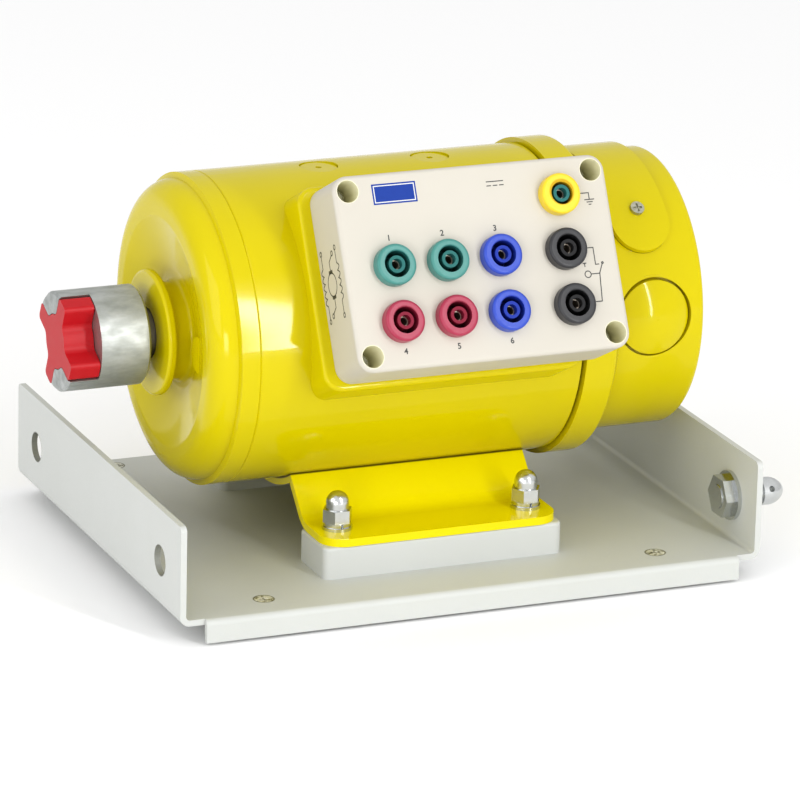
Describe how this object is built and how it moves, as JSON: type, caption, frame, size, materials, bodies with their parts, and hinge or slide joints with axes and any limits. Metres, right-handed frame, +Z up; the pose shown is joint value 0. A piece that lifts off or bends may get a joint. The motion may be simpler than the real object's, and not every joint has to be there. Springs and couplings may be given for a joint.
{
  "type": "demonstration electric motor",
  "caption": "Bench direct-current motor for teaching: yellow housing on a folded grey tray, sloping terminal box with safety sockets, and a jaw coupling on the shaft.",
  "frame": {"origin": "middle of the tray, on the surface that the rubber feet stand on", "axes": "+X along the shaft, away from the coupling; -Y is the front with the terminal panel; +Z up"},
  "size_m": [0.3514, 0.2456, 0.2136],
  "materials": {
    "tray_paint": "satin powder coat, light grey",
    "rubber": "matt black rubber",
    "zinc_steel": "bright zinc plate",
    "yellow_enamel": "gloss lemon yellow enamel",
    "laminations": "stacked electrical sheet",
    "taped_coils": "varnished copper wire under tape",
    "copper": "copper",
    "bearing_steel": "ground steel",
    "phenolic": "brown phenolic",
    "carbon": "electrographite",
    "brass": "turned brass",
    "box_plastic": "light cream moulding",
    "base_plate_steel": "zinc plated sheet",
    "socket_green": "moulded polyamide",
    "socket_red": "moulded polyamide",
    "socket_blue": "moulded polyamide",
    "socket_black": "moulded polyamide",
    "socket_yellow": "moulded polyamide",
    "shaft_steel": "turned steel, darkened at the end",
    "coupling_aluminium": "cast and turned aluminium",
    "spider_red": "red polyurethane"
  },
  "bodies": {
    "machine": {"base_tray": "tray_paint", "front_spacer_block": "tray_paint", "rear_spacer_block": "tray_paint", "rubber_feet": "rubber", "shaft_seal": "rubber", "rubber_foot_screws": "zinc_steel", "docking_pins": "zinc_steel", "docking_pin_washers": "zinc_steel", "docking_pin_nuts": "zinc_steel", "foot_bolts": "zinc_steel", "foot_washers": "zinc_steel", "foot_spring_washers": "zinc_steel", "acorn_nuts": "zinc_steel", "tie_bolts": "zinc_steel", "side_cover_screw": "zinc_steel", "terminal_box_screws": "zinc_steel", "foot_cradle": "yellow_enamel", "yoke": "yellow_enamel", "terminal_pad": "yellow_enamel", "drive_end_shield": "yellow_enamel", "commutator_end_shield": "yellow_enamel", "front_inspection_cap": "yellow_enamel", "rear_inspection_cap": "yellow_enamel", "side_cover_plate": "yellow_enamel", "pole_screws": "yellow_enamel", "main_poles": "laminations", "shunt_field_coils": "taped_coils", "series_field_coils": "taped_coils", "bearing_outer_rings": "bearing_steel", "bearing_balls": "bearing_steel", "front_brush_spring": "bearing_steel", "rear_brush_spring": "bearing_steel", "brush_holders": "phenolic", "brush_guides": "brass", "socket_contacts": "brass", "socket_nuts": "brass", "terminal_box": "box_plastic", "terminal_base": "base_plate_steel", "green_socket_1": "socket_green", "green_socket_2": "socket_green", "earth_socket_core": "socket_green", "red_socket_1": "socket_red", "red_socket_2": "socket_red", "blue_socket_1": "socket_blue", "blue_socket_2": "socket_blue", "black_socket_1": "socket_black", "black_socket_2": "socket_black", "earth_socket": "socket_yellow"},
    "rotor": {"shaft": "shaft_steel", "shaft_key": "shaft_steel", "armature_core": "laminations", "armature_winding": "copper", "commutator_bars": "copper", "commutator_hub": "phenolic", "bearing_inner_rings": "bearing_steel", "coupling_hub": "coupling_aluminium", "coupling_set_screw": "zinc_steel", "coupling_spider": "spider_red"},
    "front_brush_block": {"front_brush": "carbon"},
    "rear_brush_block": {"rear_brush": "carbon"}
  },
  "joints": [
    {"name": "rotor_spin", "type": "hinge", "parent": "machine", "child": "rotor", "pos_m": [0, 0, 0.119], "axis": [1, 0, 0], "continuous": true},
    {"name": "front_brush_slide", "type": "slide", "parent": "machine", "child": "front_brush_block", "axis": [0, -0.9976, 0.0698], "range_m": [0, 0.006], "stiffness_N_per_m": 300, "springref_m": -0.01, "deforming": ["front_brush_spring"]},
    {"name": "rear_brush_slide", "type": "slide", "parent": "machine", "child": "rear_brush_block", "axis": [0, 0.9976, -0.0698], "range_m": [0, 0.006], "stiffness_N_per_m": 300, "springref_m": -0.01, "deforming": ["rear_brush_spring"]}
  ]
}
